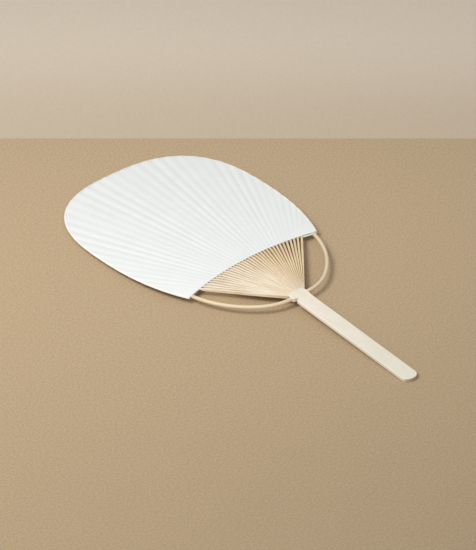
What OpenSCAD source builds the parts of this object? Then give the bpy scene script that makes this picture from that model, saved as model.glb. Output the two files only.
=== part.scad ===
// Round uchiwa fan: a split-bamboo hand fan with a paper leaf, in its rest pose.
// Y runs from the handle's end to the leaf's tip, Z is up, and the fan lies on the plane z = 0.
// Its head is held a little above that plane, so the leaf slopes down to its tip and the handle to its end.

/* [Leaf] */
// Bow axis to the leaf's tip, measured along the leaf
leaf_len = 224.4; // [210:0.2:240]
// Widest width of the leaf
leaf_w = 162.4; // [150:0.2:172]
// Bow axis to the line where the leaf is widest
widest_y = 136.6; // [125:0.2:150]
// Depth of the lower outline's full curve, of which the lower edge cuts off the end
flank_depth = 129; // [122:1:138]
// Fullness of the outline above the widest line, where 2 is an ellipse
crown_fullness = 2.65; // [2.2:0.05:3]
// Fullness of the outline below the widest line, where 2 is an ellipse
flank_fullness = 2.2; // [2:0.05:2.5]
// Bow axis to the highest point of the leaf's lower edge
hem_y = 63.4; // [58:0.1:70]
// Radius of the lower edge, which is hollow towards the handle
hem_r = 228; // [190:1:270]
// How far the lower edge's highest point sits to the right of the centre line
hem_shift = 8.4; // [2:0.2:11]

/* [Paper] */
// Thickness of the front and back papers
paper_t = 0.2; // [0.1:0.05:0.4]
// Thickness of the strip folded round the rim
binding_t = 0.15; // [0.1:0.05:0.3]
// How far the rim strip reaches in over each face
binding_w = 1.6; // [1:0.1:4]
// Thickness of the patches over the bow's ends
ear_t = 0.15; // [0.1:0.05:0.3]
// Radius of the patches over the bow's ends
ear_r = 15; // [12:0.5:20]

/* [Ribs] */
// Number of ribs split from the head
rib_count = 33; // [25:2:39]
// Leaf's corner to the outermost rib, measured along the lower edge
outer_rib_inset = 14.2; // [12.6:0.1:20]
// How far the whole fan of ribs is turned to the right, in degrees
fan_turn = 0.5; // [-1:0.1:1.2]
// How much further the middle rib leans, in degrees, because the ribs stand closer on the right
fan_crowding = 2.8; // [0:0.1:3.5]
// Width of a rib once it is clear of its neighbours
rib_w = 1.6; // [1.1:0.05:1.8]
// Height of a rib between the papers
rib_t = 1; // [0.8:0.1:1.4]
// Height of a rib where it leaves the head
root_t = 2.6; // [1.8:0.1:2.8]
// Height of a rib where it starts to thin towards the papers
shoulder_t = 2.2; // [1.5:0.1:2.5]
// Distance from the lower edge back towards the head at which a rib starts to thin
thinning_start = 2.6; // [2:0.2:14]
// Distance from the lower edge back towards the head at which a rib has thinned to rib_t
thinning_end = 0.6; // [0.4:0.2:1.8]
// Distance between a rib's tip and the rim
tip_margin = 0.8; // [0.5:0.1:3]

/* [Bow] */
// Diameter of the bow through the head and its tight bends
bow_d = 3; // [2.4:0.1:3.4]
// How much thinner the bow is along its long sweeps
bow_thinning = 0.1; // [0.04:0.02:0.2]
// Straight half-length of the bow, through the head
bow_straight = 8.2; // [8:0.1:10]
// Radius of the tight bend just outside the head
bow_bend_r = 40; // [35:0.1:44]
// Angle of the tight bend
bow_bend_angle = 36; // [32:0.1:39]
// Leaf's corner to the bow's centre line, measured along the lower edge
bow_inset = 3.9; // [3:0.1:5]
// Length of each flat tongue between the papers
tongue_len = 14; // [11:0.5:18]
// Length over which the bow is shaved down to its tongue
shave_len = 6; // [4:0.5:10]

/* [Handle] */
// Bow axis to the handle's end, measured along the handle
handle_len = 126.4; // [105:0.2:140]
// Width of the handle
handle_w = 13.6; // [12:0.1:14.8]
// Thickness of the handle
handle_t = 3; // [2.8:0.1:4]
// Rounding of the handle's long edges
edge_r = 0.8; // [0.4:0.1:1.2]
// Corner radius of the handle's end
end_r = 5.6; // [2:0.1:6]
// Distance from the bow axis back to the point from which all ribs radiate
apex_y = 6.2; // [5.4:0.1:7]
// Radius of the head's rounded top about that point
head_r = 12.4; // [12:0.1:13]
// Width of the head
head_w = 15.4; // [15:0.1:17]
// Bow axis back to where the head has narrowed to the handle's width
neck_y = 9.5; // [8:0.5:14]
// Thickness of the knuckle, the bamboo's node
knuckle_t = 3.9; // [3.6:0.1:4.6]
// Bow axis to the knuckle's thickest line
knuckle_y = 1.8; // [0:0.1:3]
// Length of the knuckle's full swelling
knuckle_len = 15; // [12:0.5:18]
// Depth of the notch that leads the bow in on the left
notch_depth = 2.4; // [1:0.1:4]
// Bow axis back to the notch's shoulder
notch_y = 5.4; // [3:0.1:7]

/* [Thread] */
// Diameter of the weaving thread
thread_d = 0.3; // [0.2:0.05:0.4]
// Lower edge of the paper to the first woven row
thread_inset = 2.5; // [2:0.1:4]
// Distance between the two woven rows
thread_pitch = 1.3; // [1:0.1:2]
// Number of turns lashed round each end of the bow
lashing_turns = 9; // [6:1:12]
// Width of the bow's waist, inside the lashing
waist_w = 2.2; // [1.8:0.1:2.3]

/* [Rest pose] */
// Height of the bow's axis above the surface that the fan lies on
head_lift = 7.5; // [4:0.1:12]

/* [Fits] */
// Clearance round the bow in the head's bore
bore_gap = 0.05; // [0.02:0.01:0.1]
// Glue line between pieces that are stuck together
glue = 0.02; // [0.01:0.01:0.05]
// Clearance of a thread in the seats cut for it
seat_gap = 0.04; // [0.02:0.01:0.08]

/* [Hidden] */
function two_digits(i) = str(i < 10 ? "0" : "", i);
RIBS = [for (i = [1:rib_count]) str("rib_", two_digits(i))];
$fn = 64;
fine = 240;
cut = 1;
rim_steps = 28;
thread_sides = 6;
// Share by which the rim's steps are drawn together near its axes
easing = 0.11;
// Number of halvings when a ray or the lower edge is followed to the rim
bisections = 24;
// Cut-off at the corners of a lashing's turns
corner_step = 0.3;
// Length by which each sweep of the bow runs on inside its bend
bow_overlap = 1.5;

// Stack of layers on each side of the leaf's middle plane
rib_half = rib_t / 2;
paper_in = rib_half;
paper_out = paper_in + paper_t;
leaf_half = paper_out + glue + binding_t;
paper_inset = binding_t + glue;
ear_inset = binding_w + glue;
tongue_half = rib_half - glue;
thread_r = thread_d / 2;
seat_w = thread_d + 2 * seat_gap;
seat_floor = rib_half - thread_d - seat_gap;
thread_z = rib_half - thread_r;

// Places of the two arcs that everything refers to
apex = [0, -apex_y];
hem_centre = [hem_shift, hem_y - hem_r];
root_r = head_r + glue;

// Tilts that put the leaf's tip and the handle's end on the plane z = 0
function tilt(length, half) = asin(head_lift / norm([length, half])) - atan2(half, length);
leaf_tilt = tilt(leaf_len, leaf_half);
handle_tilt = tilt(handle_len, handle_t / 2);
tip_reach = leaf_len * cos(leaf_tilt) + leaf_half * sin(leaf_tilt);
end_reach = handle_len * cos(handle_tilt) + handle_t / 2 * sin(handle_tilt);
bow_axis_y = (end_reach - tip_reach) / 2;

// The rim is a superellipse above the widest line and another one below it
function power(base, exponent) = sign(base) * pow(abs(base), exponent);
function rim_depth(up, inset) = (up ? leaf_len - widest_y : flank_depth) - inset;
function rim_fullness(up) = up ? crown_fullness : flank_fullness;
function rim_point(angle, inset) =
    let (up = sin(angle) >= 0, e = 2 / rim_fullness(up))
    [(leaf_w / 2 - inset) * power(cos(angle), e), widest_y + rim_depth(up, inset) * power(sin(angle), e)];
function rim_value(p, inset) =
    let (up = p.y >= widest_y, n = rim_fullness(up))
    pow(abs(p.x) / (leaf_w / 2 - inset), n) + pow(abs(p.y - widest_y) / rim_depth(up, inset), n);
// Steps are finer near the axes, where a superellipse runs fastest
function eased(t) = t - easing * sin(360 * t);
function rim_points(inset) = [for (q = [0:3], k = [0:rim_steps - 1])
    rim_point(90 * (q + eased(k / rim_steps)), inset)];

// Points on the lower edge, by turn from the Y axis about its centre, and its corners with the rim
function arc_turn(length, radius) = length / radius * 180 / PI;
function hem_point(turn) = hem_centre + hem_r * [sin(turn), cos(turn)];
function corner_turn(side, low = 0, high = asin((leaf_w / 2 + abs(hem_shift)) / hem_r), left = bisections) =
    let (mid = (low + high) / 2)
    left == 0 ? mid :
    rim_value(hem_point(side * mid), 0) > 1
        ? corner_turn(side, low, mid, left - 1)
        : corner_turn(side, mid, high, left - 1);
function from_corner(side, inset) = hem_point(side * (corner_turn(side) - arc_turn(inset, hem_r)));

// Rays from the apex, by angle from the centre line to the right
function ray_dir(angle) = [sin(angle), cos(angle)];
function ray_point(angle, r) = apex + r * ray_dir(angle);
function ray_to_row(angle, offset) =
    let (v = apex - hem_centre, b = v * ray_dir(angle), c = v * v - pow(hem_r + offset, 2))
    sqrt(b * b - c) - b;
function ray_to_rim(angle, inset, low, high, left = bisections) =
    let (mid = (low + high) / 2)
    left == 0 ? mid :
    rim_value(ray_point(angle, mid), inset) > 1
        ? ray_to_rim(angle, inset, low, mid, left - 1)
        : ray_to_rim(angle, inset, mid, high, left - 1);
function tip_r(angle) = ray_to_rim(angle, tip_margin, ray_to_row(angle, 0), apex_y + leaf_len + leaf_w);

// Angle of rib i, counted from 1 at the left, between the two outermost ones
function outer_angle(side) = let (v = from_corner(side, outer_rib_inset) - apex) atan2(v.x, v.y);
left_angle = outer_angle(-1) + fan_turn;
right_angle = outer_angle(1) + fan_turn;
function rib_place(i) = 2 * (i - 1) / (rib_count - 1) - 1;
function rib_angle(i) =
    (left_angle + right_angle) / 2 + (right_angle - left_angle) / 2 * rib_place(i)
    + fan_crowding * (1 - pow(rib_place(i), 2));
function rib_step(i) = i < rib_count ? rib_angle(i + 1) - rib_angle(i) : rib_angle(i) - rib_angle(i - 1);
function rib_free_r(i) = (rib_w + glue) / (2 * tan(rib_step(i) / 2));
function rib_half_w(i, r) = min(rib_w / 2, r * tan(rib_step(i) / 2) - glue / 2);

// The bow's centre line is a straight, a tight bend and then a sweep that meets the lower edge.
// Each side is worked out on the right, by its heading from the X axis, and mirrored to the left.
sweep_d = bow_d - bow_thinning;
bend_out = [sin(bow_bend_angle), -cos(bow_bend_angle)];
bend_centre = [bow_straight, bow_bend_r];
bend_end = bend_centre + bow_bend_r * bend_out;
function mirrored(p, side) = [side * p.x, p.y];
function bow_at_hem(side) = mirrored(from_corner(side, bow_inset), side);
function sweep_r(side) = let (v = bow_at_hem(side) - bend_end) -v * v / (2 * v * bend_out);
function sweep_centre(side) = bend_end - sweep_r(side) * bend_out;
function sweep_point(heading, side) = sweep_centre(side) + sweep_r(side) * [sin(heading), -cos(heading)];
function hem_heading(side) = let (v = bow_at_hem(side) - sweep_centre(side)) atan2(v.x, -v.y);
function along_sweep(length, side) = hem_heading(side) + arc_turn(length, sweep_r(side));

// The lashing sits on the bow's tongue, level with the two woven rows
lashing_len = lashing_turns * thread_d;
lashing_mid = thread_inset + thread_pitch / 2;
function lashing_heading(side) = along_sweep(lashing_mid, side);
waist_half_t = rib_half - thread_d - seat_gap;
waist_half_w = waist_w / 2;
lashing_half_w = waist_half_w + seat_gap + thread_r;

module on_leaf() {
    translate([0, bow_axis_y, head_lift]) rotate([-leaf_tilt, 0, 0]) children();
}

module on_handle() {
    translate([0, bow_axis_y, head_lift]) rotate([handle_tilt, 0, 0]) children();
}

// Sets a child down on the bow's centre line, with X along the bow and Y across it
module on_bow(heading, side) {
    p = sweep_point(heading, side);
    translate([side * p.x, p.y, 0]) rotate([0, 0, side > 0 ? heading : 180 - heading]) children();
}

module centred_block(x, y, z) {
    translate([-x / 2, -y / 2, -z / 2]) cube([x, y, z]);
}

// A tube of triangles along a path, its rings turned about one reference direction
module swept_tube(path, radius, reference) {
    last = len(path) - 1;
    rings = [for (i = [0:last])
        let (t = path[min(i + 1, last)] - path[max(i - 1, 0)],
             a = cross(t, reference) / norm(cross(t, reference)),
             b = cross(a, t) / norm(t))
        for (k = [0:thread_sides - 1])
        path[i] + radius * (a * cos(360 * k / thread_sides) + b * sin(360 * k / thread_sides))];
    sides = [for (i = [0:last - 1], k = [0:thread_sides - 1])
        let (m = i * thread_sides, n = m + thread_sides, j = (k + 1) % thread_sides)
        each [[m + k, n + j, n + k], [m + k, m + j, n + j]]];
    first_cap = [for (k = [thread_sides - 1:-1:0]) k];
    last_cap = [for (k = [0:thread_sides - 1]) last * thread_sides + k];
    polyhedron(rings, concat(sides, [first_cap, last_cap]), convexity = 8);
}

// Outline of the leaf, its rim moved in by an inset, with the lower edge cut out
module leaf_outline(inset) {
    difference() {
        polygon(rim_points(inset));
        translate(hem_centre) circle(hem_r, $fn = fine);
    }
}

// Handle: a flat bamboo bar with a rounded end, and the head with its knuckle, bore and notch
module bar_section() {
    square([handle_w - 2 * edge_r, handle_t], center = true);
    square([handle_w, handle_t - 2 * edge_r], center = true);
    for (x = [-1, 1], y = [-1, 1])
        translate([x * (handle_w / 2 - edge_r), y * (handle_t / 2 - edge_r)]) circle(edge_r);
}

module bar_outline() {
    translate([-handle_w / 2, end_r - handle_len]) square([handle_w, handle_len - end_r + knuckle_y]);
    translate([end_r - handle_w / 2, -handle_len]) square([handle_w - 2 * end_r, 2 * end_r]);
    for (x = [-1, 1])
        translate([x * (handle_w / 2 - end_r), end_r - handle_len]) circle(end_r);
}

module bar() {
    intersection() {
        translate([0, 0, -knuckle_t]) linear_extrude(2 * knuckle_t) bar_outline();
        translate([0, knuckle_y, 0]) rotate([90, 0, 0])
            linear_extrude(handle_len + knuckle_y + cut) bar_section();
    }
}

module head_outline() {
    intersection() {
        translate(apex) circle(head_r, $fn = fine);
        polygon([[-handle_w / 2, -neck_y], [handle_w / 2, -neck_y], [head_w / 2, -notch_y / 2],
                 [head_w / 2, head_r], [-head_w / 2, head_r], [-head_w / 2, -notch_y / 2]]);
    }
}

// The head's side view is a slab with a lens across it, whose length and thickness give its radius
module head_profile() {
    lens_r = (pow(knuckle_len / 2, 2) + pow(knuckle_t / 2, 2)) / knuckle_t;
    translate([-neck_y / 2, -handle_t / 2]) square([neck_y / 2 + head_r, handle_t]);
    intersection_for (side = [-1, 1])
        translate([knuckle_y, side * (lens_r - knuckle_t / 2)]) circle(lens_r, $fn = fine);
}

module head() {
    intersection() {
        translate([0, 0, -knuckle_t]) linear_extrude(2 * knuckle_t) head_outline();
        translate([-head_w / 2 - cut, 0, 0]) rotate([90, 0, 90])
            linear_extrude(head_w + 2 * cut) head_profile();
    }
}

module handle() {
    color([0.90, 0.86, 0.78]) difference() {
        union() {
            on_handle() bar();
            on_leaf() head();
        }
        on_leaf() {
            translate([-head_w / 2 - cut, 0, 0]) rotate([0, 90, 0])
                cylinder(r = bow_d / 2 + bore_gap, h = head_w + 2 * cut);
            translate([-head_w / 2 - cut, -notch_y, -knuckle_t])
                cube([(head_w - handle_w) / 2 + cut + notch_depth, notch_y, 2 * knuckle_t]);
        }
    }
}

// Bow: a round rod bent through the head, shaved to a flat tongue at each end and waisted for its lashing
module bow_arc(centre, radius, diameter, from, to) {
    translate(centre) rotate([0, 0, from - 90])
        rotate_extrude(angle = to - from, $fn = fine) translate([radius, 0]) circle(d = diameter);
}

module bow_half(side) {
    difference() {
        mirror([side < 0 ? 1 : 0, 0, 0]) {
            rotate([0, 90, 0]) cylinder(d = bow_d, h = bow_straight);
            bow_arc(bend_centre, bow_bend_r, bow_d, 0, bow_bend_angle);
            bow_arc(sweep_centre(side), sweep_r(side), sweep_d,
                    bow_bend_angle - arc_turn(bow_overlap, sweep_r(side)), along_sweep(tongue_len, side));
        }
        on_bow(hem_heading(side), side) for (face = [-1, 1]) shaving(face);
        on_bow(lashing_heading(side), side) waist();
    }
}

// What is shaved off one face of the bow, with the lower edge of the paper at x = 0
module shaving(face) {
    rotate([90, 0, 0]) linear_extrude(3 * bow_d, center = true)
        polygon([[-shave_len - glue, face * bow_d], [-shave_len - glue, face * bow_d / 2],
                 [-glue, face * tongue_half],
                 [2 * tongue_len, face * tongue_half], [2 * tongue_len, face * bow_d]]);
}

module waist() {
    difference() {
        centred_block(lashing_len + 2 * seat_gap, 2 * bow_d, 2 * bow_d);
        centred_block(lashing_len + 2 * bow_d, waist_w, 2 * waist_half_t);
    }
}

module bow() {
    color([0.93, 0.86, 0.74]) on_leaf() for (side = [-1, 1]) bow_half(side);
}

// Rib: a wedge between its neighbours at the root, then a tall strip that thins just before the papers
module rib_plan(i, end_r) {
    root_w = rib_half_w(i, root_r);
    free_r = rib_free_r(i);
    polygon([[-root_w, root_r], [root_w, root_r], [rib_w / 2, free_r], [rib_w / 2, end_r],
             [-rib_w / 2, end_r], [-rib_w / 2, free_r]]);
}

module rib_profile(shoulder_r, thin_r, end_r) {
    half = shoulder_t / 2;
    polygon([[root_r, -root_t / 2], [shoulder_r, -half], [thin_r, -rib_half], [end_r, -rib_half],
             [end_r, rib_half], [thin_r, rib_half], [shoulder_r, half], [root_r, root_t / 2]]);
}

// The first thread passes over the odd ribs and under the even ones, the second the other way round
function thread_face(i, row) = (i + row) % 2 == 0 ? 1 : -1;
function row_offset(row) = thread_inset + row * thread_pitch;

module rib(i) {
    angle = rib_angle(i);
    end_r = tip_r(angle);
    shoulder_r = ray_to_row(angle, -thinning_start);
    thin_r = ray_to_row(angle, -thinning_end);
    color([0.94, 0.88, 0.76]) on_leaf() translate(apex) rotate([0, 0, -angle]) difference() {
        intersection() {
            translate([0, 0, -root_t]) linear_extrude(2 * root_t) rib_plan(i, end_r);
            translate([-rib_w, 0, 0]) rotate([90, 0, 90])
                linear_extrude(2 * rib_w) rib_profile(shoulder_r, thin_r, end_r);
        }
        for (row = [0, 1])
            translate([0, ray_to_row(angle, row_offset(row)), thread_face(i, row) * (seat_floor + rib_t)])
                centred_block(2 * rib_w, seat_w, 2 * rib_t);
    }
}

// Papers: one on each face of the ribs
module front_paper() {
    color([0.95, 0.955, 0.94]) on_leaf() translate([0, 0, paper_in])
        linear_extrude(paper_t) leaf_outline(paper_inset);
}

module back_paper() {
    color([0.94, 0.945, 0.93]) on_leaf() mirror([0, 0, 1]) translate([0, 0, paper_in])
        linear_extrude(paper_t) leaf_outline(paper_inset);
}

// Edge binding: a narrow strip folded over the rim from corner to corner
module edge_binding() {
    color([0.95, 0.93, 0.87]) on_leaf() difference() {
        translate([0, 0, -leaf_half]) linear_extrude(2 * leaf_half) leaf_outline(0);
        translate([0, 0, -leaf_half - cut]) linear_extrude(2 * (leaf_half + cut))
            polygon(rim_points(binding_w));
        translate([0, 0, binding_t - leaf_half]) linear_extrude(2 * (leaf_half - binding_t))
            polygon(rim_points(binding_t));
    }
}

// Ears: patches that cover the ends of the bow, one on each face of each corner
module ear(side, face) {
    corner = from_corner(side, bow_inset);
    color([0.97, 0.97, 0.96]) on_leaf() mirror([0, 0, face < 0 ? 1 : 0]) translate([0, 0, paper_out + glue])
        linear_extrude(ear_t) intersection() {
            leaf_outline(ear_inset);
            translate(corner) circle(ear_r);
        }
}

module front_left_ear() { ear(-1, 1); }
module front_right_ear() { ear(1, 1); }
module back_left_ear() { ear(-1, -1); }
module back_right_ear() { ear(1, -1); }

// Threads: two woven rows that hold the ribs apart, tied to the bow by the lashings
function seat_path(i, row) =
    let (angle = rib_angle(i), p = ray_point(angle, ray_to_row(angle, row_offset(row))),
         across = [cos(angle), -sin(angle)], z = thread_face(i, row) * thread_z)
    [for (s = [-1, 1]) let (q = p + s * (rib_w / 2 + thread_r) * across) [q.x, q.y, z]];
function lashing_side(side, row) =
    let (heading = along_sweep(row_offset(row), side), p = sweep_point(heading, side),
         reach = lashing_half_w + thread_r + glue)
    [side * (p.x - reach * sin(heading)), p.y + reach * cos(heading), 0];

module weaving_thread(row) {
    path = concat([lashing_side(-1, row)],
                  [for (i = [1:rib_count]) each seat_path(i, row)],
                  [lashing_side(1, row)]);
    color([0.93, 0.91, 0.85]) on_leaf() swept_tube(path, thread_r, [0, 0, 1]);
}

module lower_thread() { weaving_thread(0); }
module upper_thread() { weaving_thread(1); }

// Lashing: thread wound in a flat coil round the waist of the bow's tongue
function lashing_turn() =
    let (w = lashing_half_w, h = waist_half_t + seat_gap + thread_r,
         in = w - corner_step, low = h * (1 - corner_step))
    [[-in, -h], [in, -h], [w, -low], [w, low], [in, h], [-in, h], [-w, low], [-w, -low]];

module lashing(side) {
    turn = lashing_turn();
    count = len(turn);
    rise = (thread_d + glue / 2) / count;
    steps = (lashing_turns - 1) * count;
    path = [for (k = [0:steps - 1]) [(k - (steps - 1) / 2) * rise, turn[k % count].x, turn[k % count].y]];
    color([0.93, 0.91, 0.85]) on_leaf() on_bow(lashing_heading(side), side)
        swept_tube(path, thread_r, [1, 0, 0]);
}

module left_lashing() { lashing(-1); }
module right_lashing() { lashing(1); }

handle();
bow();
for (i = [1:rib_count]) rib(i);
front_paper();
back_paper();
edge_binding();
lower_thread();
upper_thread();
left_lashing();
right_lashing();
front_left_ear();
front_right_ear();
back_left_ear();
back_right_ear();
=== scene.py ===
import bisect
import math
import random

import bmesh
import bpy
from mathutils import Matrix, Vector


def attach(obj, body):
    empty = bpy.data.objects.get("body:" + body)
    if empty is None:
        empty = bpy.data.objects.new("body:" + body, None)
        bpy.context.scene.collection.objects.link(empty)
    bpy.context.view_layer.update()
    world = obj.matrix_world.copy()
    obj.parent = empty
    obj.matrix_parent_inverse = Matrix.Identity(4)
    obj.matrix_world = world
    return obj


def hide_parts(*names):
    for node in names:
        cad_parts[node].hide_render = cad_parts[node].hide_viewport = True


bl_info = {
    "name": "Round uchiwa fan",
    "version": (1, 0, 0),
    "blender": (4, 5, 0),
    "location": "View3D > Sidebar > Fan",
    "description": "Dresses the round uchiwa fan in ridged paper and split bamboo",
    "category": "Add Mesh",
}

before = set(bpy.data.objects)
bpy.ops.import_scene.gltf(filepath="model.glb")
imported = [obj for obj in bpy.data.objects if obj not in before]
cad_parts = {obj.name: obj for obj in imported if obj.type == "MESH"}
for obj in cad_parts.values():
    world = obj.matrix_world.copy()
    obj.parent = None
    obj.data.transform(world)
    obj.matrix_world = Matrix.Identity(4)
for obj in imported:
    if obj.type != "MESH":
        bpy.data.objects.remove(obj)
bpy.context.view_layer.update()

SEED = 7

# Gap kept between a piece and what it lies on, and the thinnest layer or step that is made
CLEARANCE = 0.00002
HAIR = 0.00001
# Points closer than this are one, and edges sharper than this stay sharp
MERGE = 0.000002
SHARP = math.radians(35)
# How often, how far round and how far out the outline is searched
HALVINGS = 30
WIDEST_TURN = 0.55
LONGEST_RAY = 0.4

# Sag of the paper: least half gap, share of it in a narrow gap, half gap of the full sag
LEAST_GAP, NARROW_SAG, FULL_SAG_GAP = 0.0002, 0.35, 0.0035
# Its mean, swing, step and start from one gap to the next, and the flat share of a patch
MEAN_SAG, SAG_SWING, SAG_STEP, SAG_START, FLAT_SHARE = 0.8, 0.35, 7.3, 1.1, 0.2

# Most that a rib wanders off its ray, narrows, and slides its fibres
WANDER, NARROWING, FIBRE_SLIDE = 0.00016, 0.07, 0.5
# Share of the head's swell on its right, run of the knuckle, and drop of the head's top
RIGHT_SWELL, KNUCKLE_RUN, TOP_DROP = 0.45, 0.0048, 0.0002
# Distance from the lower edge at which the bow is down to its sweep's diameter
SWEEP_THINS = 0.05

# Focal length and height of the picture in pixels, and the sensor's side in millimetres
FOCAL, FRAME_HEIGHT, SENSOR = 4000, 550, 36


def length(name, description, default):
    return bpy.props.FloatProperty(
        name=name, description=description, default=default, unit="LENGTH", precision=5
    )


def turn(name, description, default):
    return bpy.props.FloatProperty(
        name=name, description=description, default=math.radians(default), subtype="ANGLE"
    )


def number(name, description, default):
    return bpy.props.FloatProperty(name=name, description=description, default=default)


def count(name, description, default):
    return bpy.props.IntProperty(name=name, description=description, default=default)


def colour(name, description, default):
    return bpy.props.FloatVectorProperty(
        name=name, description=description, default=default, subtype="COLOR", size=3, min=0, max=1
    )


class FanLeaf(bpy.types.PropertyGroup):
    """Sizes of the paper leaf, with the bow's axis as their origin"""

    leaf_len: length("Leaf length", "Bow axis to the leaf's tip", 0.2244)
    leaf_w: length("Leaf width", "Widest width of the leaf", 0.1624)
    widest_y: length("Widest line", "Bow axis to the leaf's widest line", 0.1366)
    flank_depth: length("Flank depth", "Depth of the lower outline's full curve", 0.129)
    crown: number("Crown fullness", "Fullness of the outline above the widest line", 2.65)
    flank: number("Flank fullness", "Fullness of the outline below the widest line", 2.2)
    hem_y: length("Lower edge", "Bow axis to the highest point of the lower edge", 0.0634)
    hem_r: length("Lower edge radius", "Radius of the leaf's lower edge", 0.228)
    hem_shift: length("Lower edge shift", "How far that highest point sits to the right", 0.0084)
    paper_t: length("Paper thickness", "Thickness of each paper", 0.0002)
    paper_out: length("Paper level", "Middle of the leaf to a paper's outer face", 0.0007)
    sag: length("Paper sag", "How far the paper sinks between two ribs", 0.00034)
    sag_run: length("Sag run", "Distance over which the paper falls away from a rib", 0.0032)
    pinch: length("Rim pinch", "How far each paper is pressed down at the rim", 0.00025)
    binding_w: length("Binding width", "How far the rim strip reaches in over each face", 0.0016)
    binding_t: length("Binding thickness", "Thickness of the rim strip", 0.00015)
    ear_r: length("Patch radius", "Radius of the patches over the bow's ends", 0.015)
    ear_t: length("Patch thickness", "Thickness of the patches", 0.00006)
    lip: length("Patch lip", "How far the right patch at the back shows below the lower edge", 0.0015)
    tilt: turn("Leaf tilt", "Slope of the leaf down to its tip", 1.6932)
    lift: length("Head lift", "Height of the bow's axis above the floor", 0.0075)
    axis_y: length("Bow axis", "Place of the bow's axis along the fan", -0.049)


class FanRibs(bpy.types.PropertyGroup):
    """Sizes of the split ribs"""

    rib_count: count("Ribs", "Number of ribs", 33)
    outer_inset: length("Outer inset", "Leaf's corner to the outermost rib along the lower edge", 0.0142)
    fan_turn: turn("Fan turn", "How far the fan of ribs is turned to the right", 0.5)
    crowding: turn("Crowding", "How much further the middle rib leans to the right", 2.8)
    rib_w: length("Rib width", "Width of a rib once it is free", 0.0016)
    rib_t: length("Rib height", "Height of a rib between the papers", 0.001)
    root_t: length("Root height", "Height of a rib where it leaves the head", 0.0026)
    root_r: length("Root radius", "Radius of the head's rounded top", 0.01242)
    apex_y: length("Apex", "Bow axis back to the point from which the ribs radiate", 0.0062)
    shoulder_t: length("Shoulder height", "Height of a rib where it starts to thin", 0.0022)
    thinning_start: length("Thinning start", "Lower edge back to where a rib starts to thin", 0.0026)
    thinning_end: length("Thinning end", "Lower edge back to where a rib is thin", 0.0006)
    tip_margin: length("Tip margin", "Rib's tip to the rim", 0.0008)
    glue: length("Glue line", "Gap between two ribs at their roots", 0.00002)
    edge: length("Rib edge", "Rounding of a rib's long edges", 0.0002)
    slit: number("Slit", "Share of the ribs' spacing that is open near the head, on the far right", 0.22)


class FanBow(bpy.types.PropertyGroup):
    """Sizes of the bent bow"""

    bow_d: length("Bow diameter", "Diameter of the bow through the head", 0.003)
    sweep_d: length("Sweep diameter", "Diameter of the bow along its long sweeps", 0.0029)
    straight: length("Straight", "Half-length of the straight through the head", 0.0082)
    bend_r: length("Bend radius", "Radius of the tight bend", 0.04)
    bend_angle: turn("Bend angle", "Angle of the tight bend", 36)
    inset: length("Bow inset", "Leaf's corner to the bow's centre line along the lower edge", 0.0039)
    tongue: length("Tongue", "Length of each flat end between the papers", 0.014)
    tongue_half: length("Tongue half height", "Half of the height of those flat ends", 0.00048)
    shave: length("Shaving", "Length over which the bow is shaved flat", 0.006)
    waist_at: length("Waist", "Lower edge to the middle of the lashing", 0.00315)
    waist_len: length("Waist length", "Length of the waist inside the lashing", 0.00278)
    waist_w: length("Waist width", "Width of the waist inside the lashing", 0.0022)
    waist_half: length("Waist half height", "Half of the height of that waist", 0.00016)


class FanHandle(bpy.types.PropertyGroup):
    """Sizes of the handle and its head"""

    handle_len: length("Handle length", "Bow axis to the handle's end", 0.1264)
    handle_w: length("Handle width", "Width of the handle", 0.0136)
    handle_t: length("Handle thickness", "Thickness of the handle", 0.003)
    edge: length("Edge rounding", "Rounding of the handle's long edges", 0.0006)
    end_r: length("End rounding", "Corner radius of the handle's end", 0.0056)
    head_w: length("Head width", "Width of the head", 0.0154)
    neck: length("Neck", "Bow axis back to where the head starts to widen", 0.0095)
    knuckle_t: length("Knuckle thickness", "Thickness of the bamboo's node", 0.0039)
    knuckle_y: length("Knuckle", "Bow axis to the knuckle's thickest line", 0.0018)
    knob: length("Knob", "How far the knob round the bow stands out on the left", 0.0006)
    notch: length("Notch", "Depth of the notch below that knob", 0.0026)
    notch_y: length("Notch shoulder", "Bow axis back to the notch's shoulder", 0.0054)
    tilt: turn("Handle tilt", "Slope of the handle down to its end", 2.7215)


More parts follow.
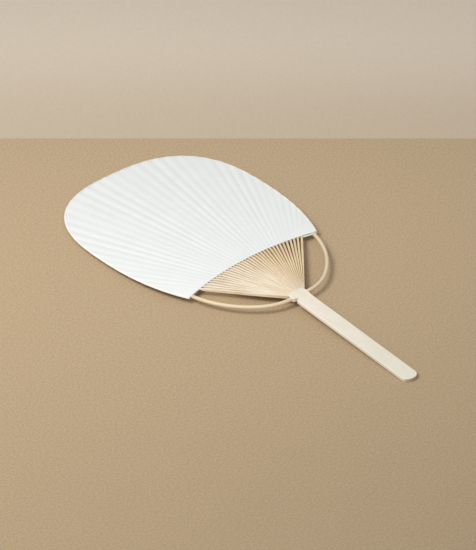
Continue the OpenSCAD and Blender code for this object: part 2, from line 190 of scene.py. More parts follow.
class FanColours(bpy.types.PropertyGroup):
    """Colours of the paper, bamboo, thread and floor"""

    paper: colour("Paper", "White of the leaf", (0.885, 0.91, 0.91))
    patch: colour("Patch", "White of the corner patches", (0.90, 0.925, 0.925))
    binding: colour("Binding", "Cream of the rim strip", (0.94, 0.93, 0.89))
    handle: colour("Handle", "Pale face of the handle near its head", (0.91, 0.85, 0.75))
    handle_far: colour("Handle's end", "Pale face of the handle near its end", (0.80, 0.775, 0.67))
    handle_dark: colour("Handle fibres", "Darker fibres of the handle", (0.74, 0.64, 0.49))
    handle_cut: colour("Cut end", "Grey-brown cut across the handle's end", (0.52, 0.43, 0.34))
    rib: colour("Ribs", "Face of the ribs", (0.94, 0.865, 0.72))
    rib_dark: colour("Rib fibres", "Darker fibres of the ribs", (0.70, 0.53, 0.31))
    # Painted shade and bounced light: the ribs on the right are tinted a deeper honey, for their dimmer,
    # golden lit faces
    rib_warm: colour("Honey ribs", "Deeper face of the ribs on the right", (0.86, 0.70, 0.47))
    # Painted shade and bounced light: the ribs' sides towards the right are tinted tan, for the shade in
    # the gaps
    rib_side: colour("Rib sides", "Tan sides of the ribs on the right", (0.78, 0.59, 0.36))
    rib_root: colour("Rib roots", "Whiter bamboo where the ribs leave the head", (0.86, 0.79, 0.67))
    bow: colour("Bow", "Skin of the bow", (0.83, 0.70, 0.51))
    bow_dark: colour("Bow fibres", "Darker fibres of the bow", (0.68, 0.52, 0.33))
    thread: colour("Thread", "Cotton thread", (0.80, 0.76, 0.66))
    floor: colour("Floor", "Pale card that the fan lies on", (0.655, 0.49, 0.305))
    # Painted light falloff: the floor card is darker towards the camera, standing in for the key lamp's
    # weaker light there
    floor_near: colour("Near floor", "Its darker tone towards the camera", (0.43, 0.32, 0.195))
    far: colour("Far floor", "Paler surface behind the card", (0.83, 0.72, 0.58))
    # Painted shade: the far surface is darker beside the card's edge, as in the crease at a backdrop's foot
    far_near: colour("Far floor's edge", "Its slightly darker tone beside the card", (0.665, 0.545, 0.405))


GROUPS = {
    "fan_leaf": FanLeaf,
    "fan_ribs": FanRibs,
    "fan_bow": FanBow,
    "fan_handle": FanHandle,
    "fan_colours": FanColours,
}


def sizes(name):
    return getattr(bpy.context.scene, name)


# Outline of the leaf, flat, with the bow's axis at the origin and +Y to the tip
def rim_value(p, inset):
    leaf = sizes("fan_leaf")
    up = p.y >= leaf.widest_y
    depth = (leaf.leaf_len - leaf.widest_y if up else leaf.flank_depth) - inset
    full = leaf.crown if up else leaf.flank
    return abs(p.x / (leaf.leaf_w / 2 - inset)) ** full + abs((p.y - leaf.widest_y) / depth) ** full


def halve(low, high, outside):
    for _ in range(HALVINGS):
        mid = (low + high) / 2
        low, high = (low, mid) if outside(mid) else (mid, high)
    return low


def hem_point(angle, off=0.0):
    leaf = sizes("fan_leaf")
    r = leaf.hem_r + off
    return Vector((leaf.hem_shift + r * math.sin(angle), leaf.hem_y - leaf.hem_r + r * math.cos(angle)))


def corner_turn(side, inset=0.0):
    return halve(0.0, WIDEST_TURN, lambda a: rim_value(hem_point(side * a), inset) > 1)


def from_corner(side, distance):
    return hem_point(side * (corner_turn(side) - distance / sizes("fan_leaf").hem_r))


# Rays from the apex, by angle from the Y axis to the right
def apex():
    return Vector((0.0, -sizes("fan_ribs").apex_y))


def ray_point(angle, r):
    return apex() + r * Vector((math.sin(angle), math.cos(angle)))


def angle_of(p):
    v = p - apex()
    return math.atan2(v.x, v.y)


def ray_to_hem(angle, off=0.0):
    leaf = sizes("fan_leaf")
    v = apex() - Vector((leaf.hem_shift, leaf.hem_y - leaf.hem_r))
    b = v.dot(Vector((math.sin(angle), math.cos(angle))))
    return math.sqrt(b * b - v.dot(v) + (leaf.hem_r + off) ** 2) - b


def ray_to_rim(angle, inset):
    return halve(ray_to_hem(angle), LONGEST_RAY, lambda r: rim_value(ray_point(angle, r), inset) > 1)


def rib_angles():
    ribs = sizes("fan_ribs")
    ends = [angle_of(from_corner(side, ribs.outer_inset)) + ribs.fan_turn for side in (-1, 1)]
    places = [2 * i / (ribs.rib_count - 1) - 1 for i in range(ribs.rib_count)]
    return [
        (ends[0] + ends[1]) / 2 + (ends[1] - ends[0]) / 2 * t + ribs.crowding * (1 - t * t)
        for t in places
    ]


def spread(start, end, parts):
    """Evenly spaced values from start up to, but not at, the end"""
    return [start + (end - start) * k / parts for k in range(parts)]


def smooth(t):
    t = min(max(t, 0.0), 1.0)
    return t * t * (3 - 2 * t)


def paper_level(angle, r, rim_r, ribs_at, corners):
    """Height of the front paper's outer face above the middle of the leaf"""
    leaf, ribs = sizes("fan_leaf"), sizes("fan_ribs")
    k = bisect.bisect(ribs_at, angle)
    near = min(abs(angle - a) for a in ribs_at[max(k - 1, 0) : k + 1])
    gap = ribs_at[min(k, len(ribs_at) - 1)] - ribs_at[max(min(k, len(ribs_at) - 1) - 1, 0)]
    half_gap = max(r * gap / 2 - ribs.rib_w / 2, LEAST_GAP)
    off_rib = smooth((r * math.sin(near) - ribs.rib_w / 2) / min(leaf.sag_run, half_gap))
    off_rib *= min(NARROW_SAG + half_gap / FULL_SAG_GAP, 1)
    off_rib *= MEAN_SAG + SAG_SWING * math.sin(SAG_STEP * k + SAG_START)
    p = ray_point(angle, r)
    flat = min((p - c).length for c in corners) / leaf.ear_r
    sunk = leaf.sag * off_rib * smooth(flat - FLAT_SHARE)
    rim = leaf.pinch * (1 - smooth((rim_r - r) / leaf.binding_w))
    return leaf.paper_out - sunk - rim


def on_leaf():
    leaf = sizes("fan_leaf")
    return Matrix.Translation((0, leaf.axis_y, leaf.lift)) @ Matrix.Rotation(-leaf.tilt, 4, "X")


def placed_grid(columns, rows, place):
    """A grid whose corner (i, j) goes to place(i, j), with the grid's own UV map"""
    bm = bmesh.new()
    bm.loops.layers.uv.new("UVMap")
    bmesh.ops.create_grid(bm, x_segments=columns - 1, y_segments=rows - 1, size=1.0, calc_uvs=True)
    for v in bm.verts:
        i = round((v.co.x + 1) / 2 * (columns - 1))
        j = round((v.co.y + 1) / 2 * (rows - 1))
        v.co = place(i, j)
    return bm


def run_uv(bm, rows, across, shift=0.0):
    """Gives a tube's UV map real lengths: round it, plus a shift, and along it by its rows"""
    layer = bm.loops.layers.uv.verify()
    for face in bm.faces:
        for loop in face.loops:
            row = round(loop[layer].uv.y * (len(rows) - 1))
            loop[layer].uv = (loop[layer].uv.x * across + shift, rows[row])


def merge(bm):
    bmesh.ops.remove_doubles(bm, verts=bm.verts, dist=MERGE)


def close(bm):
    """Merges the seam of a tube and fills its open ends"""
    merge(bm)
    bmesh.ops.holes_fill(bm, edges=[e for e in bm.edges if e.is_boundary], sides=0)


def thicken(bm, face):
    """Gives a sheet a second skin on the front (1) or back (-1), and returns that skin's points"""
    merge(bm)
    bmesh.ops.recalc_face_normals(bm, faces=bm.faces)
    faces = list(bm.faces)
    if faces[0].normal.z * face > 0:
        bmesh.ops.reverse_faces(bm, faces=faces)
    made = bmesh.ops.extrude_face_region(bm, geom=faces, use_keep_orig=True)
    return [v for v in made["geom"] if isinstance(v, bmesh.types.BMVert)]


def finish_piece(bm, name, material, nodes, matrix, smooth_faces=True):
    """Makes the mesh an object at the origin, in place of the CAD nodes it replaces"""
    merge(bm)
    bmesh.ops.recalc_face_normals(bm, faces=bm.faces)
    bmesh.ops.transform(bm, matrix=matrix, verts=bm.verts)
    for face in bm.faces:
        face.smooth = smooth_faces
    mesh = bpy.data.meshes.new(name)
    bm.to_mesh(mesh)
    bm.free()
    if smooth_faces:
        mesh.set_sharp_from_angle(angle=SHARP)
    piece = bpy.data.objects.new(name, mesh)
    bpy.context.scene.collection.objects.link(piece)
    mesh.materials.append(material)
    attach(piece, "root")
    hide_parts(*nodes)


# Materials
def add_node(tree, kind, inputs=(), **settings):
    node = tree.nodes.new(kind)
    for key, value in settings.items():
        setattr(node, key, value)
    for socket, value in dict(inputs).items():
        if isinstance(value, bpy.types.NodeSocket):
            tree.links.new(value, node.inputs[socket])
        else:
            node.inputs[socket].default_value = value
    return node


def start_material(name, roughness, sheen=0.0):
    material = bpy.data.materials.new(f"fan_{name}")
    material.use_nodes = True
    tree = material.node_tree
    shader = tree.nodes["Principled BSDF"]
    shader.inputs["Roughness"].default_value = roughness
    shader.inputs["Sheen Weight"].default_value = sheen
    return material, tree, shader


def coordinates(tree, source, scale):
    where = add_node(tree, "ShaderNodeTexCoord")
    mapping = add_node(tree, "ShaderNodeMapping", {"Vector": where.outputs[source], "Scale": scale})
    return mapping.outputs["Vector"]


def noise(tree, vector, scale, detail=3.0, rough=0.5, distortion=0.0):
    return add_node(
        tree,
        "ShaderNodeTexNoise",
        {"Vector": vector, "Scale": scale, "Detail": detail, "Roughness": rough, "Distortion": distortion},
    ).outputs["Fac"]


def band(tree, value, low, high):
    """1 above the high level, 0 below the low one, and a soft step between them"""
    limits = {"Value": value, "From Min": low, "From Max": high}
    return add_node(tree, "ShaderNodeMapRange", limits, interpolation_type="SMOOTHSTEP").outputs["Result"]


def mix(tree, factor, a, b, blend="MIX"):
    node = add_node(tree, "ShaderNodeMix", data_type="RGBA", blend_type=blend)
    for index, value in ((0, factor), (6, a), (7, b)):
        if isinstance(value, bpy.types.NodeSocket):
            tree.links.new(value, node.inputs[index])
        elif index:
            node.inputs[index].default_value = (*value, 1)
        else:
            node.inputs[index].default_value = value
    return node.outputs[2]


def times(tree, value, factor):
    return add_node(tree, "ShaderNodeMath", {0: value, 1: factor}, operation="MULTIPLY").outputs[0]


def spots(tree, value, low, high, amount):
    """A band at a share of its full strength"""
    return times(tree, band(tree, value, low, high), amount)


def toned(tint, factor):
    return tuple(min(c * factor, 1) for c in tint)


def bump(tree, shader, height, distance, strength):
    node = add_node(tree, "ShaderNodeBump", {"Height": height, "Distance": distance, "Strength": strength})
    tree.links.new(node.outputs["Normal"], shader.inputs["Normal"])


def part_of(tree, vector, axis, low, high):
    """How far a coordinate (0, 1 or 2 for X, Y or Z) has gone from low to high"""
    parts = add_node(tree, "ShaderNodeSeparateXYZ", {"Vector": vector})
    return band(tree, parts.outputs[axis], low, high)


def bamboo(name, source, along, pale, dark, depth, roughness=0.5, tint=None, uneven=0.2):
    """Split bamboo: long fibres, short brown pores and slow changes of tone"""
    material, tree, shader = start_material(name, roughness)
    shader.inputs["Specular IOR Level"].default_value = 0.25
    if tint:
        pale = tint(tree, pale)

    def stretched(share):
        scale = [1.0, 1.0, 1.0]
        scale[along] = share
        return coordinates(tree, source, scale)

    fibres = noise(tree, stretched(0.035), scale=1700, detail=4.0, rough=0.7)
    pores = noise(tree, stretched(0.06), scale=3400, detail=1.0)
    tone = noise(tree, stretched(0.3), scale=160, detail=2.0)
    base = mix(tree, spots(tree, fibres, low=0.40, high=0.68, amount=depth), pale, dark)
    base = mix(tree, spots(tree, tone, low=0.42, high=0.66, amount=uneven), base, dark)
    base = mix(tree, spots(tree, pores, low=0.66, high=0.74, amount=0.35), base, toned(dark, 0.55))
    tree.links.new(base, shader.inputs["Base Color"])
    bump(tree, shader, fibres, distance=0.00005, strength=0.4)
    return material


def paper(name, tint, roughness=0.85, strength=0.25):
    """Handmade paper: cloudy pulp, fine long fibres and a soft tooth"""
    material, tree, shader = start_material(name, roughness, sheen=0.08)
    plain = coordinates(tree, "Object", (1, 1, 1))
    cloud = noise(tree, plain, scale=90)
    pulp = noise(tree, plain, scale=900, detail=4.0, rough=0.65)
    hair = noise(tree, coordinates(tree, "Object", (1, 0.35, 1)), scale=420, detail=2.0, distortion=1.8)
    line = add_node(tree, "ShaderNodeMath", {0: hair, 1: 0.5}, operation="SUBTRACT").outputs[0]
    line = add_node(tree, "ShaderNodeMath", {0: line}, operation="ABSOLUTE").outputs[0]
    fibre = band(tree, line, low=0.012, high=0.0)
    shade = toned(tint, 0.955)
    base = mix(tree, spots(tree, cloud, low=0.35, high=0.7, amount=0.5), tint, shade)
    base = mix(tree, spots(tree, pulp, low=0.4, high=0.7, amount=0.35), base, shade)
    base = mix(tree, times(tree, fibre, 0.25), base, toned(tint, 1.06))
    tree.links.new(base, shader.inputs["Base Color"])
    raised = {0: pulp, 1: times(tree, fibre, 0.3)}
    height = add_node(tree, "ShaderNodeMath", raised, operation="ADD").outputs[0]
    bump(tree, shader, height, distance=0.00005, strength=strength)
    return material


def cotton(name, tint):
    """Twisted cotton thread"""
    material, tree, shader = start_material(name, 0.8, sheen=0.2)
    slanted = coordinates(tree, "Object", (1, 1.6, 1))
    twist = {"Vector": slanted, "Scale": 900, "Distortion": 1.5, "Detail": 1}
    ply = add_node(tree, "ShaderNodeTexWave", twist).outputs["Fac"]
    fuzz = noise(tree, slanted, scale=5000, detail=2.0)
    base = mix(tree, times(tree, ply, 0.4), tint, toned(tint, 0.7))
    base = mix(tree, times(tree, fuzz, 0.25), base, toned(tint, 0.85))
    tree.links.new(base, shader.inputs["Base Color"])
    bump(tree, shader, ply, distance=0.00003, strength=0.5)
    return material


def card(name, tint, near, span, contrast):
    """Matte card with fine pale and dark flecks, and painted shade: its tone changes slowly over a span of
    its length
    """
    material, tree, shader = start_material(name, 0.92)
    plain = coordinates(tree, "Object", (1, 1, 1))
    fleck = noise(tree, plain, scale=650, detail=4.0, rough=0.8)
    cloud = noise(tree, plain, scale=25, detail=2.0)
    # Painted shade: a darker tone at the start of the card, fading to its own tone across the span
    base = mix(tree, part_of(tree, coordinates(tree, "UV", (1, 1, 1)), 1, *span), near, tint)
    speck = mix(tree, band(tree, fleck, low=0.3, high=0.7), (1 - contrast,) * 3, (1.0, 1.0, 1.0))
    base = mix(tree, 1.0, base, speck, "MULTIPLY")
    base = mix(tree, times(tree, cloud, 0.1), base, toned(tint, 0.8))
    tree.links.new(base, shader.inputs["Base Color"])
    bump(tree, shader, fleck, distance=0.0001, strength=0.2)
    return material


def rib_tint_with_painted_shade(tree, pale):
    """Whiter roots, by the distance along a rib, and painted shade and bounced light towards the right: a
    deeper honey face and tan sides
    """
    tints = sizes("fan_colours")
    along, place = coordinates(tree, "UV", (1, 1, 1)), coordinates(tree, "Object", (1, 1, 1))
    facing = add_node(tree, "ShaderNodeTexCoord").outputs["Normal"]
    # Painted shade and bounced light: a deeper honey face on the ribs towards the right
    right = part_of(tree, place, axis=0, low=-0.006, high=0.019)
    root = part_of(tree, along, axis=1, low=0.032, high=0.013)
    # Painted shade and bounced light: tan on the ribs' sides towards the right, picked out by their facing
    upright = part_of(tree, facing, axis=2, low=0.98, high=0.35)
    painted_side_shade_reach = part_of(tree, place, axis=0, low=-0.025, high=0.012)
    base = mix(tree, right, pale, tuple(tints.rib_warm))
    base = mix(tree, root, base, tuple(tints.rib_root))
    return mix(tree, times(tree, upright, painted_side_shade_reach), base, tuple(tints.rib_side))


def handle_tint(tree, pale):
    """A cooler tone towards the handle's end, and a grey-brown cut across it"""
    tints = sizes("fan_colours")
    where = coordinates(tree, "Object", (1, 1, 1))
    facing = add_node(tree, "ShaderNodeTexCoord").outputs["Normal"]
    far = part_of(tree, where, axis=1, low=-0.05, high=-0.17)
    end = part_of(tree, where, axis=1, low=-0.1705, high=-0.1735)
    away = part_of(tree, facing, axis=1, low=-0.35, high=-0.75)
    base = mix(tree, far, pale, tuple(tints.handle_far))
    return mix(tree, times(tree, away, end), base, tuple(tints.handle_cut))


def material_for(name):
    """Finds one of the fan's materials, or makes it the first time it is asked for"""
    found = bpy.data.materials.get(f"fan_{name}")
    if found:
        return found
    tints = {key: tuple(getattr(sizes("fan_colours"), key)) for key in FanColours.__annotations__}
    makers = {
        "leaf_paper": lambda: paper(name, tints["paper"]),
        "patch_paper": lambda: paper(name, tints["patch"], strength=0.15),
        "binding_paper": lambda: paper(name, tints["binding"], roughness=0.8),
        "handle_bamboo": lambda: bamboo(
            name, "Object", 1, tints["handle"], tints["handle_dark"], depth=0.36, tint=handle_tint
        ),
        "rib_bamboo": lambda: bamboo(
            name, "UV", 1, tints["rib"], tints["rib_dark"], 0.45, roughness=0.6, tint=rib_tint_with_painted_shade, uneven=0.5
        ),
        "bow_bamboo": lambda: bamboo(
            name, "UV", 1, tints["bow"], tints["bow_dark"], depth=0.45, roughness=0.42
        ),
        "cotton_thread": lambda: cotton(name, tints["thread"]),
        "floor_card": lambda: card(
            name, tints["floor"], tints["floor_near"], span=(0.81, 1.0), contrast=0.32
        ),
        "far_card": lambda: card(name, tints["far"], tints["far_near"], span=(0.006, 0.06), contrast=0.1),
    }
    return makers[name]()


def dress(node, material):
    """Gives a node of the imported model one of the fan's materials"""
    slots = bpy.data.objects[node].material_slots if node in bpy.data.objects else None
    if not slots:
        raise RuntimeError(f"the packed model shows no node named {node}")
    for slot in slots:
        slot.material = material


class FAN_OT_papers(bpy.types.Operator):
    """Make the two ridged papers"""

    bl_idname = "fan.papers"
    bl_label = "Papers"

    def execute(self, context):
        leaf = sizes("fan_leaf")
        inset = leaf.binding_t + CLEARANCE
        ribs_at = rib_angles()
        corners = [from_corner(side, 0) for side in (-1, 1)]
        ends = [angle_of(hem_point(side * corner_turn(side, inset))) for side in (-1, 1)]
        # Points from one rib to the next, closer together beside the ribs
        shares = (0, 0.06, 0.12, 0.2, 0.3, 0.42, 0.58, 0.7, 0.8, 0.88, 0.94)
        stops = [ends[0]] + ribs_at + [ends[1]]
        angles = [a + (b - a) * s for a, b in zip(stops, stops[1:]) for s in shares] + [ends[1]]
        rims = [ray_to_rim(a, inset) for a in angles]
        hems = [ray_to_hem(a) for a in angles]
        rows, crowding = 44, 1.25
        for name, face in (("front", 1), ("back", -1)):

            def place(i, j):
                share = 1 - (1 - j / (rows - 1)) ** crowding
                r = hems[i] + (rims[i] - hems[i]) * share
                p = ray_point(angles[i], r)
                z = paper_level(angles[i], r, rims[i], ribs_at, corners)
                return Vector((p.x, p.y, face * (z - leaf.paper_t)))

            bm = placed_grid(len(angles), rows, place)
            bmesh.ops.translate(bm, verts=thicken(bm, face), vec=(0, 0, face * leaf.paper_t))
            pulp = material_for("leaf_paper")
            finish_piece(bm, f"{name}_ridged_paper", pulp, [f"{name}_paper"], on_leaf())
        return {"FINISHED"}


class FAN_OT_binding(bpy.types.Operator):
    """Make the strip folded over the rim"""

    bl_idname = "fan.binding"
    bl_label = "Rim binding"

    def execute(self, context):
        leaf = sizes("fan_leaf")
        ribs_at = rib_angles()
        corners = [from_corner(side, 0) for side in (-1, 1)]
        ends = [angle_of(hem_point(side * corner_turn(side))) for side in (-1, 1)]
        steps = 640
        angles = [ends[0] + (ends[1] - ends[0]) * i / steps for i in range(steps + 1)]
        t = leaf.binding_t
        # Section of the strip: distance in from the rim, and height over the paper's outer face
        outside = [
            (leaf.binding_w, t),
            (leaf.binding_w * 0.96, t * 1.3),
            (0.0008, t * 1.3),
            (0.0003, t),
            (0.00008, -0.00012),
        ]
        edge = [(0.0, -0.00035)]
        inside = [(t, -0.00030), (0.0008, HAIR), (leaf.binding_w, HAIR)]
        profile = [(q, z, 1) for q, z in outside + edge]
        profile += [(q, z, -1) for q, z in reversed(outside + edge)]
        profile += [(q, z, -1) for q, z in inside]
        profile += [(q, z, 1) for q, z in reversed(inside)]
        profile.append(profile[0])
        limits, rim_r = {}, {}
        for q in {q for q, _, _ in profile}:
            limits[q] = [angle_of(hem_point(side * corner_turn(side, q))) for side in (-1, 1)]
            rim_r[q] = [ray_to_rim(min(max(a, limits[q][0]), limits[q][1]), q) for a in angles]

        def place(i, j):
            q, z, face = profile[j]
            angle = min(max(angles[i], limits[q][0]), limits[q][1])
            r = rim_r[q][i]
            p = ray_point(angle, r)
            level = paper_level(angle, r, rim_r[0.0][i], ribs_at, corners) + z
            return Vector((p.x, p.y, face * level))

        bm = placed_grid(len(angles), len(profile), place)
        close(bm)
        strip = material_for("binding_paper")
        finish_piece(bm, "rim_binding", strip, ["edge_binding"], on_leaf())
        return {"FINISHED"}


class FAN_OT_patches(bpy.types.Operator):
    """Make the four paper patches over the bow's ends"""

    bl_idname = "fan.patches"
    bl_label = "Corner patches"

    def execute(self, context):
        leaf, bow = sizes("fan_leaf"), sizes("fan_bow")
        inset = leaf.binding_w + CLEARANCE
        ribs_at = rib_angles()
        corners = [from_corner(side, 0) for side in (-1, 1)]
        spokes, rings = 40, 12
        # How the lip fades away from the lower edge, where it ends, and how far it bends inwards
        lip_depth, lip_end, lip_fade, lip_bend = 0.0015, 0.0099, 0.0008, 0.5
        feather = 0.001
        for side, side_name in ((-1, "left"), (1, "right")):
            start = side * (corner_turn(side) - bow.inset / leaf.hem_r)

            def spot(beta, rho):
                return hem_point(start - side * rho * math.cos(beta) / leaf.hem_r, rho * math.sin(beta))

            reach = []
            for i in range(spokes + 1):
                beta = math.pi * i / spokes
                reach.append(halve(0, leaf.ear_r, lambda rho: rim_value(spot(beta, rho), inset) > 1))
            for face_name, face in (("front", 1), ("back", -1)):

                lip = leaf.lip if face < 0 < side else 0.0

                def place(i, j):
                    beta, rho = math.pi * i / spokes, reach[i] * j / rings
                    p = spot(beta, rho)
                    out = 1 - smooth(math.sin(beta) * rho / lip_depth) if lip else 0.0
                    out *= smooth((lip_end - math.cos(beta) * rho) / lip_fade)
                    p -= Vector((0, lip * out))
                    angle = angle_of(p)
                    rim_r = ray_to_rim(angle, 0)
                    level = paper_level(angle, (p - apex()).length, rim_r, ribs_at, corners)
                    return Vector((p.x, p.y, face * (level + HAIR) * (1 - lip_bend * out)))

                bm = placed_grid(spokes + 1, rings + 1, place)
                centre = hem_point(start)
                for v in thicken(bm, face):
                    inner = smooth((leaf.ear_r - (v.co.xy - centre).length) / feather)
                    v.co.z += face * (HAIR + (leaf.ear_t - HAIR) * inner)
                pulp, corner = material_for("patch_paper"), f"{face_name}_{side_name}"
                finish_piece(bm, f"{corner}_patch", pulp, [f"{corner}_ear"], on_leaf())
        return {"FINISHED"}


class FAN_OT_ribs(bpy.types.Operator):
    """Make the split ribs, each a little uneven"""

    bl_idname = "fan.ribs"
    bl_label = "Split ribs"

    def execute(self, context):
        ribs = sizes("fan_ribs")
        angles = rib_angles()
        chance = random.Random(SEED)
        # Lengths over which a rib comes free, leaves the head and goes in between the papers
        free_run, root_run, hem_run = 0.012, 0.002, 0.006
        around, uv_round, slit_rise = 8, 0.0045, 1.5
        for i, angle in enumerate(angles):
            step = angles[i + 1] - angle if i + 1 < len(angles) else angle - angles[i - 1]
            tip_r = ray_to_rim(angle, ribs.tip_margin)
            shoulder_r = ray_to_hem(angle, -ribs.thinning_start)
            thin_r = ray_to_hem(angle, -ribs.thinning_end)
            hem_r = ray_to_hem(angle)
            free_r = (ribs.rib_w + ribs.glue) / (2 * math.tan(step / 2))
            stations = spread(ribs.root_r, free_r, 6) + spread(free_r, shoulder_r, 8)
            stations += spread(shoulder_r, thin_r, 3) + spread(thin_r, hem_r, 2)
            stations += spread(hem_r, tip_r, 6) + [tip_r]
            sway = chance.uniform(-WANDER, WANDER)
            rise = chance.uniform(-WANDER, WANDER)
            narrow = chance.uniform(0.0, NARROWING)
            slit = ribs.slit * (i / len(angles)) ** slit_rise
            shift = chance.uniform(0, FIBRE_SLIDE)

            def place(col, row):
                r = stations[row]
                outside = smooth((hem_r - r) / hem_run)
                share = 1 - slit * smooth((r - ribs.root_r) / free_run)
                room = r * math.tan(step / 2) * share - ribs.glue / 2
                half_w = min(ribs.rib_w / 2 * (1 - narrow), room)
                e = min(ribs.edge, half_w * 0.45)
                early = min((r - ribs.root_r) / (shoulder_r - ribs.root_r), 1)
                late = min(max((r - shoulder_r) / (thin_r - shoulder_r), 0), 1)
                full_t = ribs.root_t + (ribs.shoulder_t - ribs.root_t) * early
                half_t = (full_t + (ribs.rib_t - full_t) * late) / 2
                x, z = [
                    (e - half_w, half_t), (half_w - e, half_t),
                    (half_w, half_t - e), (half_w, e - half_t),
                    (half_w - e, -half_t), (e - half_w, -half_t),
                    (-half_w, e - half_t), (-half_w, half_t - e),
                ][col % around]
                x += sway * (smooth((r - free_r) / free_run) * outside)
                z += rise * outside * smooth((r - ribs.root_r) / root_run)
                return Vector((x, r, z))

            bm = placed_grid(around + 1, len(stations), place)
            run_uv(bm, stations, uv_round, shift)
            close(bm)
            turned = Matrix.Translation((0, -ribs.apex_y, 0)) @ Matrix.Rotation(-angle, 4, "Z")
            split, tag = material_for("rib_bamboo"), f"{i + 1:02d}"
            finish_piece(
                bm,
                f"split_rib_{tag}",
                split,
                [f"rib_{tag}"],
                on_leaf() @ turned,
                smooth_faces=False,
            )
        return {"FINISHED"}


class FAN_OT_bow(bpy.types.Operator):
    """Make the bent bow, shaved flat at both ends"""

    bl_idname = "fan.bow"
    bl_label = "Bent bow"

    def waist(self):
        """Where the lashing's waist starts and ends, measured from the lower edge"""
        bow = sizes("fan_bow")
        return bow.waist_at - bow.waist_len / 2, bow.waist_at + bow.waist_len / 2

    def side_stations(self, side):
        """Stations of one side, drawn on the right: place, heading, distance from the lower edge"""
        bow = sizes("fan_bow")
        out = Vector((math.sin(bow.bend_angle), -math.cos(bow.bend_angle)))
        bend_centre = Vector((bow.straight, bow.bend_r))
        bend_end = bend_centre + bow.bend_r * out
        meet = from_corner(side, bow.inset)
        meet.x *= side
        v = meet - bend_end
        sweep_r = -v.dot(v) / (2 * v.dot(out))
        centre = bend_end - sweep_r * out
        w = meet - centre
        hem_heading = math.atan2(w.x, -w.y)
        sweep_len = (hem_heading - bow.bend_angle) * sweep_r
        stations = [(Vector((x, 0)), 0.0, None) for x in spread(0.0, bow.straight, 3)]
        stations += [
            (bend_centre + bow.bend_r * Vector((math.sin(h), -math.cos(h))), h, None)
            for h in spread(0.0, bow.bend_angle, 10)
        ]
        low, high = self.waist()
        tongue_marks = (0.007, 0.0105)
        marks = spread(-sweep_len, 0.0, 22)
        marks += [-bow.shave * (1 - k / 6) for k in range(7)]
        marks += [low - HAIR, low, (low + high) / 2, high, high + HAIR, *tongue_marks, bow.tongue]
        for s in sorted(set(marks)):
            h = hem_heading + s / sweep_r
            stations.append((centre + sweep_r * Vector((math.sin(h), -math.cos(h))), h, s))
        return stations

    def execute(self, context):
        bow = sizes("fan_bow")
        around = 28
        rows = []
        for side in (-1, 1):
            row = [(Vector((side * p.x, p.y)), side * h, s) for p, h, s in self.side_stations(side)]
            rows += list(reversed(row)) if side < 0 else row[1:]
        run = [0.0]
        for a, b in zip(rows, rows[1:]):
            run.append(run[-1] + (b[0] - a[0]).length)
        low, high = self.waist()

        def place(i, j):
            p, heading, s = rows[j]
            radius = (bow.bow_d if s is None or s < -SWEEP_THINS else bow.sweep_d) / 2
            top = radius
            if s is not None:
                top = min(radius, bow.tongue_half + (radius - bow.tongue_half) * max(-s / bow.shave, 0))
            side_limit = radius
            if s is not None and low <= s <= high:
                top, side_limit = bow.waist_half, bow.waist_w / 2
            a = 2 * math.pi * i / around
            lateral = max(min(radius * math.cos(a), side_limit), -side_limit)
            z = max(min(radius * math.sin(a), top), -top)
            return Vector((p.x - lateral * math.sin(heading), p.y + lateral * math.cos(heading), z))

        bm = placed_grid(around + 1, len(rows), place)
        run_uv(bm, run, math.pi * bow.bow_d)
        close(bm)
        finish_piece(bm, "bent_bow", material_for("bow_bamboo"), ["bow"], on_leaf())
        return {"FINISHED"}


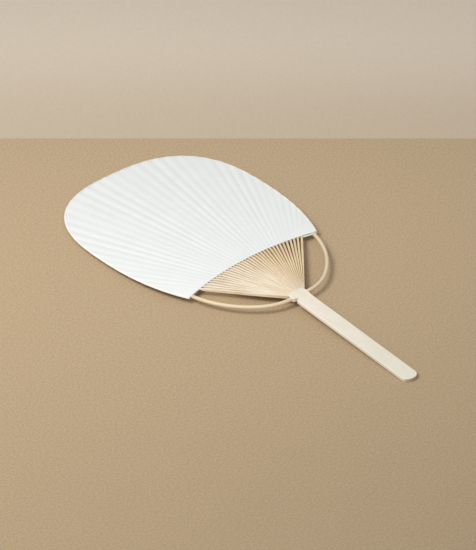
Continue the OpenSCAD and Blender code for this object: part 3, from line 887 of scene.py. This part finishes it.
class FAN_OT_handle(bpy.types.Operator):
    """Make the handle, with its knuckle, the knob round the bow and the notch below it"""

    bl_idname = "fan.handle"
    bl_label = "Handle"

    def half_width(self, y, side):
        """Half of the width at a place along the handle, on the left (-1) or right (1)"""
        grip = sizes("fan_handle")
        if y < grip.end_r - grip.handle_len:
            back = grip.end_r - grip.handle_len - y
            return grip.handle_w / 2 - grip.end_r + math.sqrt(max(grip.end_r**2 - back**2, 0))
        swell = (grip.head_w - grip.handle_w) / 2 * smooth((y + grip.neck) / grip.neck)
        if side > 0:
            return grip.handle_w / 2 + swell * RIGHT_SWELL
        above = y + grip.notch_y
        knob = grip.knob * smooth((above - 0.0028) / 0.0014) * smooth((0.0058 - y) / 0.003)
        notch = grip.notch * smooth(above / 0.0009) * smooth((0.0031 - grip.notch_y - y) / 0.0012)
        return grip.handle_w / 2 + swell * smooth((y + 0.003) / 0.001) + knob - notch

    def half_height(self, y):
        grip = sizes("fan_handle")
        bulge = math.exp(-(((y - grip.knuckle_y) / KNUCKLE_RUN) ** 2))
        knuckle = (grip.knuckle_t - grip.handle_t) / 2 * bulge
        return grip.handle_t / 2 + knuckle - TOP_DROP * smooth((y - 0.004) / 0.003)

    def execute(self, context):
        leaf, ribs, grip = sizes("fan_leaf"), sizes("fan_ribs"), sizes("fan_handle")
        leaf_place = on_leaf()
        bar_place = Matrix.Translation((0, leaf.axis_y, leaf.lift)) @ Matrix.Rotation(grip.tilt, 4, "X")
        top = ribs.root_r - ribs.glue
        flat = [k / 5 - 1 for k in range(11)]
        quarter = [math.pi / 2 * k / 5 for k in range(6)]
        ring = [(t, 1, 0, 1) for t in flat]
        ring += [(1, 1, math.sin(a), math.cos(a)) for a in quarter[1:]]
        ring += [(1, -1, math.cos(a), -math.sin(a)) for a in quarter]
        ring += [(t, -1, 0, -1) for t in reversed(flat[:-1])]
        ring += [(-1, -1, -math.sin(a), -math.cos(a)) for a in quarter[1:]]
        ring += [(-1, 1, -math.cos(a), math.sin(a)) for a in quarter]
        # Places along the handle: its round end, its bar, the head in fine steps, and the head's top
        run, head_from, head_to, fine, top_run = grip.end_r - grip.handle_len, -0.012, 0.003, 0.0003, 0.0032
        rows = [run - grip.end_r * math.sin(math.pi / 2 * (1 - k / 10)) for k in range(10)]
        rows += spread(run, head_from, 24)
        rows += [head_from + fine * k for k in range(50)]
        rows += [head_to + top_run * k / 6 for k in range(7)]

        def place(i, j):
            t, level, bow_out, rise = ring[i]
            y = rows[j]
            side = 1 if t > 0 else -1
            e = grip.edge * min(1, 0.35 + (y + grip.handle_len) / grip.end_r)
            half_w, half_t = self.half_width(y, side), self.half_height(y)
            e = min(e, half_t * 0.95)
            x = t * (half_w - e) + bow_out * e
            drop = top - math.sqrt(top**2 - x * x)
            y -= drop * smooth((y + 0.002) / 0.0082)
            z = level * (half_t - e) + rise * e
            bar_share = smooth((0.003 - y) / 0.014)
            return (leaf_place @ Vector((x, y, z))).lerp(bar_place @ Vector((x, y, z)), bar_share)

        bm = placed_grid(len(ring), len(rows), place)
        close(bm)
        split = material_for("handle_bamboo")
        finish_piece(bm, "bamboo_handle", split, ["handle"], Matrix.Identity(4))
        return {"FINISHED"}


class FAN_OT_threads(bpy.types.Operator):
    """Give the threads and lashings their cotton"""

    bl_idname = "fan.threads"
    bl_label = "Threads"

    def execute(self, context):
        for node in ("lower_thread", "upper_thread", "left_lashing", "right_lashing"):
            dress(node, material_for("cotton_thread"))
        return {"FINISHED"}


class FAN_OT_stage(bpy.types.Operator):
    """Lay the floor, place the lamps and the camera"""

    bl_idname = "fan.stage"
    bl_label = "Stage"

    def execute(self, context):
        scene = context.scene
        target = Vector((-0.01128, 0.00857, 0.0))
        place = Vector((-1.60129, -1.87039, 1.745333))
        ahead = Vector((target.x - place.x, target.y - place.y)).normalized()
        facing = math.atan2(ahead.x, ahead.y)
        # Place of the edge between the two sheets, half a sheet's side, and the far sheet's drop and tuck
        to_edge, half_side, drop, tuck = 0.187, 1.5, 0.0006, 0.02
        edge = Vector((target.x, target.y)) + to_edge * ahead
        for name, shift, height in (("floor_card", -half_side, 0.0), ("far_card", half_side - tuck, -drop)):
            bm = bmesh.new()
            bm.loops.layers.uv.new()
            bmesh.ops.create_grid(bm, x_segments=1, y_segments=1, size=half_side, calc_uvs=True)
            bmesh.ops.translate(bm, verts=bm.verts, vec=(0, shift, 0))
            spin = Matrix.Translation((edge.x, edge.y, height)) @ Matrix.Rotation(-facing, 4, "Z")
            bmesh.ops.transform(bm, matrix=spin, verts=bm.verts)
            mesh = bpy.data.meshes.new(name)
            bm.to_mesh(mesh)
            bm.free()
            mesh.materials.append(material_for(name))
            surface = bpy.data.objects.new(name, mesh)
            scene.collection.objects.link(surface)

        camera = bpy.data.objects.new("camera", bpy.data.cameras.new("camera"))
        camera.data.lens = FOCAL / FRAME_HEIGHT * SENSOR
        camera.data.clip_end = 20
        camera.location = place
        camera.rotation_euler = (target - place).to_track_quat("-Z", "Y").to_euler()
        scene.collection.objects.link(camera)
        scene.camera = camera

        right = Vector((ahead.y, -ahead.x, 0))
        back = Vector((ahead.x, ahead.y, 0))
        # Each lamp's name, place, side in metres and power in watts
        for name, spot, size, power in (
            ("key_lamp", right * -0.42 + back * -0.38 + Vector((0, 0, 0.82)), 0.42, 6.5),
            ("fill_lamp", right * 0.3 + back * -0.9 + Vector((0, 0, 0.7)), 0.9, 1.5),
        ):
            lamp = bpy.data.objects.new(name, bpy.data.lights.new(name, "AREA"))
            lamp.data.size = size
            lamp.data.energy = power
            lamp.data.color = (1.0, 0.985, 0.96)
            lamp.location = spot
            lamp.rotation_euler = (-spot).to_track_quat("-Z", "Y").to_euler()
            scene.collection.objects.link(lamp)

        world = bpy.data.worlds.new("soft_room")
        world.use_nodes = True
        light = world.node_tree.nodes["Background"].inputs
        light["Color"].default_value = (1.0, 0.99, 0.975, 1)
        light["Strength"].default_value = 0.42
        scene.world = world
        scene.view_settings.view_transform = "Standard"
        return {"FINISHED"}


OPERATORS = (
    FAN_OT_stage,
    FAN_OT_papers,
    FAN_OT_binding,
    FAN_OT_patches,
    FAN_OT_ribs,
    FAN_OT_bow,
    FAN_OT_handle,
    FAN_OT_threads,
)


class FAN_PT_panel(bpy.types.Panel):
    """Sizes, colours and makers of the fan"""

    bl_label = "Round fan"
    bl_idname = "FAN_PT_panel"
    bl_space_type = "VIEW_3D"
    bl_region_type = "UI"
    bl_category = "Fan"

    def draw(self, context):
        for operator in OPERATORS:
            self.layout.operator(operator.bl_idname)
        for name, group in GROUPS.items():
            box = self.layout.box()
            for key in group.__annotations__:
                box.prop(getattr(context.scene, name), key)


def register():
    for name, group in GROUPS.items():
        bpy.utils.register_class(group)
        setattr(bpy.types.Scene, name, bpy.props.PointerProperty(type=group))
    for cls in OPERATORS + (FAN_PT_panel,):
        bpy.utils.register_class(cls)


def unregister():
    for cls in reversed(OPERATORS + (FAN_PT_panel,)):
        bpy.utils.unregister_class(cls)
    for name, group in reversed(GROUPS.items()):
        delattr(bpy.types.Scene, name)
        bpy.utils.unregister_class(group)


def main():
    register()
    for operator in OPERATORS:
        getattr(bpy.ops.fan, operator.bl_idname.split(".")[1])()


if __name__ == "__main__":
    main()
